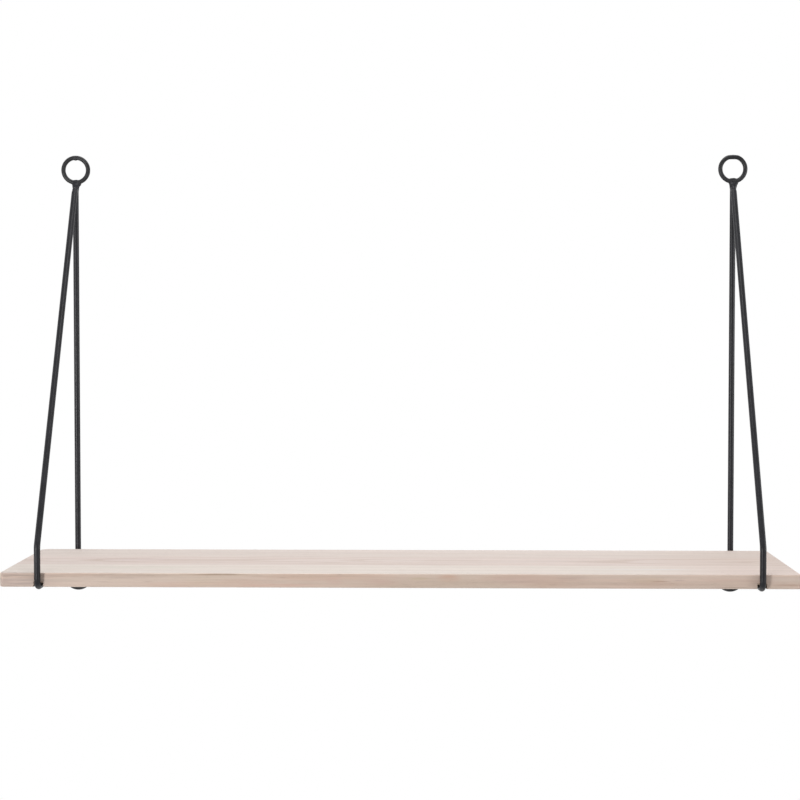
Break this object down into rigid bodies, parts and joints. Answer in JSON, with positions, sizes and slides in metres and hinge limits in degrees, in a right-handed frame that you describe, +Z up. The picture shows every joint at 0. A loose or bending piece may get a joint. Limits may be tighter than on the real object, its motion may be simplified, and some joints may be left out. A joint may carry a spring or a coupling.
{
  "type": "hanging wall shelf",
  "caption": "Wall shelf: a glued wooden board lies in grooves on bent black steel-rod hangers, which hang on the wall by welded eyes.",
  "frame": {"origin": "on the wall plane, midway between the hangers, at the height of the centres of the upper eyes", "axes": "+X along the wall and the board's length, to the right as seen from the room; +Y into the wall; +Z up"},
  "size_m": [1, 0.27, 0.6007],
  "materials": {
    "board_wood": "pale whitewashed wood, matt, fine straight grain along the length",
    "black_steel": "satin black paint on round steel rod",
    "weld_steel": "satin black paint over a slightly lumpy weld bead"
  },
  "bodies": {
    "hangers": {"hanger_rod_left": "black_steel", "hanger_rod_right": "black_steel", "upper_eye_left": "black_steel", "upper_eye_right": "black_steel", "lower_eye_left": "black_steel", "lower_eye_right": "black_steel", "upper_weld_left": "weld_steel", "upper_weld_right": "weld_steel", "lower_weld_left": "weld_steel", "lower_weld_right": "weld_steel"},
    "board": {"board_stave_1": "board_wood", "board_stave_2": "board_wood", "board_stave_3": "board_wood"}
  },
  "joints": [
    {"name": "board_lift", "type": "slide", "parent": "hangers", "child": "board", "axis": [0, 0, 1], "range_m": [0, 0.037]}
  ]
}
